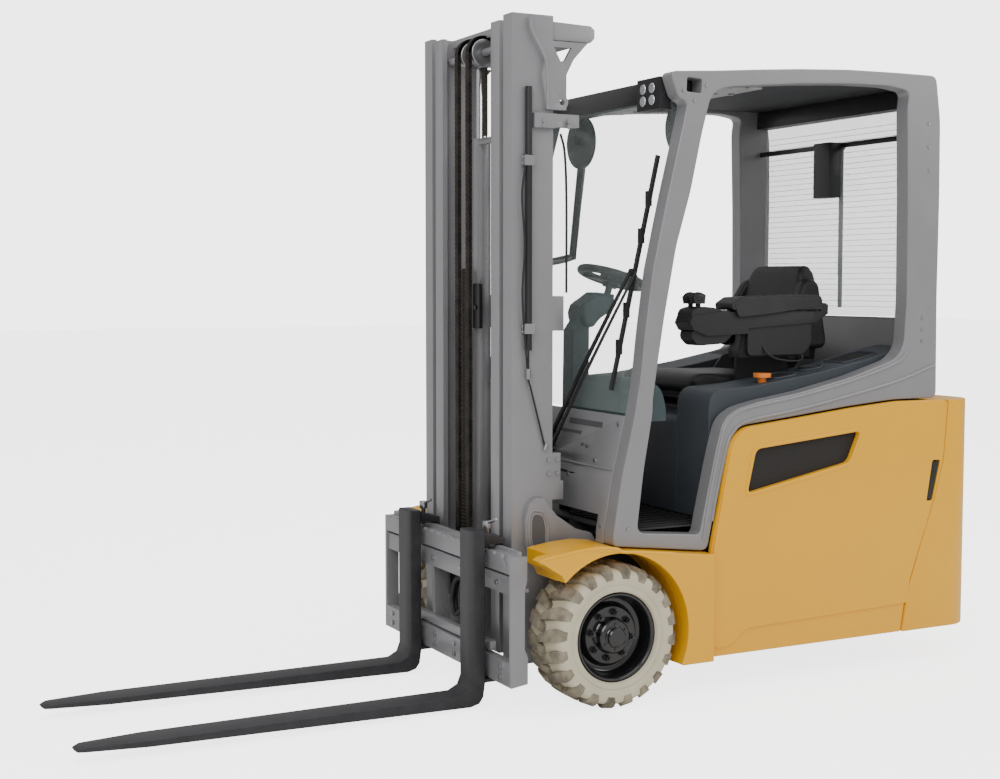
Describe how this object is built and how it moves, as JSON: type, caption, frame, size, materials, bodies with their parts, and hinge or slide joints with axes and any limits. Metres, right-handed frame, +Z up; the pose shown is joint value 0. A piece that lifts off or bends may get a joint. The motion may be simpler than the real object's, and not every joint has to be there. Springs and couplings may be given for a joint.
{
  "type": "electric counterbalance forklift",
  "caption": "Three-wheel electric forklift with a telescopic mast, sliding forks, an overhead guard cab, driver's seat, side door and a steered rear wheel unit.",
  "frame": {"origin": "on the floor, midway between the fork tips and the back of the counterweight and midway between the sides", "axes": "+X forward along the forks, +Y to the left of the driver, +Z up"},
  "size_m": [3.135, 1.12, 2.165],
  "materials": {
    "grey_paint": "satin light grey metallic paint",
    "yellow_paint": "semi-gloss yellow paint",
    "black_paint": "satin black paint",
    "dark_steel": "dark satin chassis paint",
    "fork_steel": "charcoal satin paint",
    "rod_chrome": "polished hydraulic rod",
    "bare_steel": "bright steel",
    "chain_steel": "oiled leaf chain",
    "hose_rubber": "black hose",
    "tyre_rubber": "non-marking light rubber",
    "rim_paint": "gloss black paint",
    "hood_plastic": "moulded blue-grey plastic",
    "black_plastic": "black plastic",
    "vinyl": "black vinyl",
    "mat_rubber": "ribbed rubber mat",
    "battery_case": "battery case",
    "clear_glass": "clear tinted glass",
    "stop_orange": "orange knob"
  },
  "bodies": {
    "chassis": {"chassis_frame": "dark_steel", "drive_axle": "dark_steel", "battery": "battery_case", "left_fender": "yellow_paint", "right_fender": "yellow_paint", "counterweight": "yellow_paint", "battery_hood": "hood_plastic", "right_side_panel": "yellow_paint", "left_cab_frame": "grey_paint", "right_cab_frame": "grey_paint", "cab_crossmembers": "black_paint", "roof_panel": "black_paint", "windscreen": "clear_glass", "rear_window": "clear_glass", "front_cowl": "grey_paint", "floor_mat": "mat_rubber", "dash_console": "hood_plastic", "seat_suspension": "dark_steel"},
    "outer_mast": {"outer_mast": "grey_paint", "lift_cylinders": "grey_paint", "height_sensor": "black_plastic"},
    "inner_mast": {"inner_mast": "grey_paint", "lift_rods": "rod_chrome", "lift_chains": "chain_steel", "mast_hoses": "hose_rubber"},
    "pulleys": {"chain_pulleys": "bare_steel"},
    "carriage": {"fork_carriage": "grey_paint"},
    "left_fork": {"left_fork": "fork_steel"},
    "right_fork": {"right_fork": "fork_steel"},
    "left_fork_lock": {"left_fork_lock": "bare_steel"},
    "right_fork_lock": {"right_fork_lock": "bare_steel"},
    "tilt_barrels": {"tilt_barrels": "black_paint"},
    "tilt_rods": {"tilt_rods": "rod_chrome"},
    "left_wheel": {"left_tyre": "tyre_rubber", "left_rim": "rim_paint"},
    "right_wheel": {"right_tyre": "tyre_rubber", "right_rim": "rim_paint"},
    "turntable": {"steer_turntable": "dark_steel"},
    "rear_left_wheel": {"rear_left_wheel": "tyre_rubber"},
    "rear_right_wheel": {"rear_right_wheel": "tyre_rubber"},
    "steering_column": {"steering_column": "black_plastic"},
    "steering_wheel": {"steering_wheel": "black_plastic"},
    "steering_knob": {"steering_knob": "black_plastic"},
    "accelerator_pedal": {"accelerator_pedal": "mat_rubber"},
    "brake_pedal": {"brake_pedal": "mat_rubber"},
    "seat": {"seat_cushion": "vinyl", "armrest_console": "black_plastic"},
    "backrest": {"seat_backrest": "vinyl"},
    "armrest_pad": {"armrest_pad": "vinyl"},
    "lift_lever": {"lift_lever": "black_plastic"},
    "tilt_lever": {"tilt_lever": "black_plastic"},
    "emergency_stop": {"emergency_stop": "stop_orange"},
    "side_door": {"side_door": "yellow_paint"},
    "door_latch": {"door_latch": "black_plastic"},
    "wiper_arm": {"wiper_arm": "black_paint"},
    "wiper_blade": {"wiper_blade": "hose_rubber"},
    "rear_wiper": {"rear_wiper": "black_paint"},
    "work_lamp": {"work_lamp": "black_plastic"},
    "left_mirror": {"left_mirror": "black_plastic"},
    "right_mirror": {"right_mirror": "black_plastic"}
  },
  "joints": [
    {"name": "mast_tilt", "type": "hinge", "parent": "chassis", "child": "outer_mast", "pos_m": [0.0475, 0, 0.229], "axis": [0, 1, 0], "range_deg": [-7, 5]},
    {"name": "inner_lift", "type": "slide", "parent": "outer_mast", "child": "inner_mast", "axis": [0, 0, 1], "range_m": [0, 1.6]},
    {"name": "carriage_lift", "type": "slide", "parent": "inner_mast", "child": "carriage", "axis": [0, 0, 1], "range_m": [0, 1.6], "deforming": ["lift_chains"]},
    {"name": "pulley_spin", "type": "hinge", "parent": "inner_mast", "child": "pulleys", "pos_m": [0.1605, 0, 2.079], "axis": [0, 1, 0], "range_deg": [-2040, 0]},
    {"name": "tilt_barrel_swing", "type": "hinge", "parent": "chassis", "child": "tilt_barrels", "pos_m": [-0.4025, 0, 0.488], "axis": [0, 1, 0], "range_deg": [-1.7, 2.3]},
    {"name": "tilt_rod_slide", "type": "slide", "parent": "tilt_barrels", "child": "tilt_rods", "axis": [0.9994, 0, 0.0351], "range_m": [-0.036, 0.026]},
    {"name": "left_fork_slide", "type": "slide", "parent": "carriage", "child": "left_fork", "axis": [0, 1, 0], "range_m": [-0.16, 0.11]},
    {"name": "right_fork_slide", "type": "slide", "parent": "carriage", "child": "right_fork", "axis": [0, 1, 0], "range_m": [-0.23, 0.1]},
    {"name": "left_fork_lock_pull", "type": "slide", "parent": "left_fork", "child": "left_fork_lock", "axis": [0, 0, 1], "range_m": [0, 0.012], "stiffness_N_per_m": 800, "springref_m": -0.01},
    {"name": "right_fork_lock_pull", "type": "slide", "parent": "right_fork", "child": "right_fork_lock", "axis": [0, 0, 1], "range_m": [0, 0.012], "stiffness_N_per_m": 800, "springref_m": -0.01},
    {"name": "left_wheel_spin", "type": "hinge", "parent": "chassis", "child": "left_wheel", "pos_m": [-0.0525, 0.46, 0.229], "axis": [0, 1, 0], "continuous": true},
    {"name": "right_wheel_spin", "type": "hinge", "parent": "chassis", "child": "right_wheel", "pos_m": [-0.0525, -0.46, 0.229], "axis": [0, 1, 0], "continuous": true},
    {"name": "steer", "type": "hinge", "parent": "chassis", "child": "turntable", "pos_m": [-1.3015, 0, 0.441], "axis": [0, 0, 1], "range_deg": [-90, 90]},
    {"name": "rear_left_spin", "type": "hinge", "parent": "turntable", "child": "rear_left_wheel", "pos_m": [-1.3015, 0.084, 0.1905], "axis": [0, 1, 0], "continuous": true},
    {"name": "rear_right_spin", "type": "hinge", "parent": "turntable", "child": "rear_right_wheel", "pos_m": [-1.3015, -0.084, 0.1905], "axis": [0, 1, 0], "continuous": true},
    {"name": "column_tilt", "type": "hinge", "parent": "chassis", "child": "steering_column", "pos_m": [-0.2175, 0, 0.6], "axis": [0, -1, 0], "range_deg": [0, 6]},
    {"name": "steering_wheel_turn", "type": "hinge", "parent": "steering_column", "child": "steering_wheel", "pos_m": [-0.3575, 0, 1.331], "axis": [-0.309, 0, 0.9511], "range_deg": [-900, 900]},
    {"name": "knob_spin", "type": "hinge", "parent": "steering_wheel", "child": "steering_knob", "pos_m": [-0.46554, -0.04691, 1.33796], "axis": [-0.309, 0, 0.9511], "continuous": true},
    {"name": "accelerator_press", "type": "hinge", "parent": "chassis", "child": "accelerator_pedal", "pos_m": [-0.3075, -0.176, 0.574], "axis": [0, 1, 0], "range_deg": [0, 15], "stiffness_Nm_per_rad": 10, "springref_deg": -5.73},
    {"name": "brake_press", "type": "hinge", "parent": "chassis", "child": "brake_pedal", "pos_m": [-0.3075, -0.091, 0.574], "axis": [0, 1, 0], "range_deg": [0, 12], "stiffness_Nm_per_rad": 20, "springref_deg": -5.73},
    {"name": "seat_slide", "type": "slide", "parent": "chassis", "child": "seat", "axis": [1, 0, 0], "range_m": [-0.06, 0.08]},
    {"name": "backrest_recline", "type": "hinge", "parent": "seat", "child": "backrest", "pos_m": [-1.0375, 0, 1.04], "axis": [0, -1, 0], "range_deg": [-5, 20]},
    {"name": "armrest_pad_raise", "type": "hinge", "parent": "seat", "child": "armrest_pad", "pos_m": [-1.0175, 0.3, 1.25], "axis": [0, -1, 0], "range_deg": [0, 60]},
    {"name": "lift_lever_move", "type": "hinge", "parent": "seat", "child": "lift_lever", "pos_m": [-0.5025, 0.322, 1.236], "axis": [0, 1, 0], "range_deg": [-15, 15], "stiffness_Nm_per_rad": 0.8},
    {"name": "tilt_lever_move", "type": "hinge", "parent": "seat", "child": "tilt_lever", "pos_m": [-0.5025, 0.278, 1.236], "axis": [0, 1, 0], "range_deg": [-15, 15], "stiffness_Nm_per_rad": 0.8},
    {"name": "emergency_stop_press", "type": "slide", "parent": "chassis", "child": "emergency_stop", "axis": [0, 0, -1], "range_m": [0, 0.008], "stiffness_N_per_m": 1200, "springref_m": -0.003},
    {"name": "door_swing", "type": "hinge", "parent": "chassis", "child": "side_door", "pos_m": [-0.4405, 0.517, 0.3], "axis": [0, 0, -1], "range_deg": [0, 90]},
    {"name": "door_latch_pull", "type": "hinge", "parent": "side_door", "child": "door_latch", "pos_m": [-1.3645, 0.523, 0.716], "axis": [0.173, 0, -0.9849], "range_deg": [0, 25], "stiffness_Nm_per_rad": 1, "springref_deg": -11.46},
    {"name": "wiper_swing", "type": "hinge", "parent": "chassis", "child": "wiper_arm", "pos_m": [-0.1135, 0.045, 0.752], "axis": [0.9836, 0, 0.1805], "range_deg": [0, 60]},
    {"name": "wiper_blade_turn", "type": "hinge", "parent": "wiper_arm", "child": "wiper_blade", "pos_m": [-0.19225, 0.40789, 1.3639], "axis": [0.9836, 0, 0.1805], "range_deg": [-60, 0]},
    {"name": "rear_wiper_swing", "type": "hinge", "parent": "chassis", "child": "rear_wiper", "pos_m": [-1.3745, 0, 1.844], "axis": [1, 0, 0], "range_deg": [-38, 38]},
    {"name": "lamp_tilt", "type": "hinge", "parent": "chassis", "child": "work_lamp", "pos_m": [-0.2865, 0.38, 1.934], "axis": [0, 1, 0], "range_deg": [-15, 10]},
    {"name": "left_mirror_turn", "type": "hinge", "parent": "chassis", "child": "left_mirror", "pos_m": [-0.4045, 0.33, 1.845], "axis": [0, 0, 1], "range_deg": [-15, 15]},
    {"name": "right_mirror_turn", "type": "hinge", "parent": "chassis", "child": "right_mirror", "pos_m": [-0.4045, -0.33, 1.845], "axis": [0, 0, 1], "range_deg": [-15, 15]}
  ],
  "couplings": [
    {"joint": "carriage_lift", "follows": "inner_lift", "ratio": 1},
    {"joint": "pulley_spin", "follows": "inner_lift", "rad_per_m": -22.2},
    {"joint": "tilt_barrel_swing", "follows": "mast_tilt", "ratio": -0.315},
    {"joint": "tilt_rod_slide", "follows": "mast_tilt", "m_per_rad": 0.2746},
    {"joint": "steering_wheel_turn", "follows": "steer", "ratio": -10},
    {"joint": "wiper_blade_turn", "follows": "wiper_swing", "ratio": -1}
  ]
}
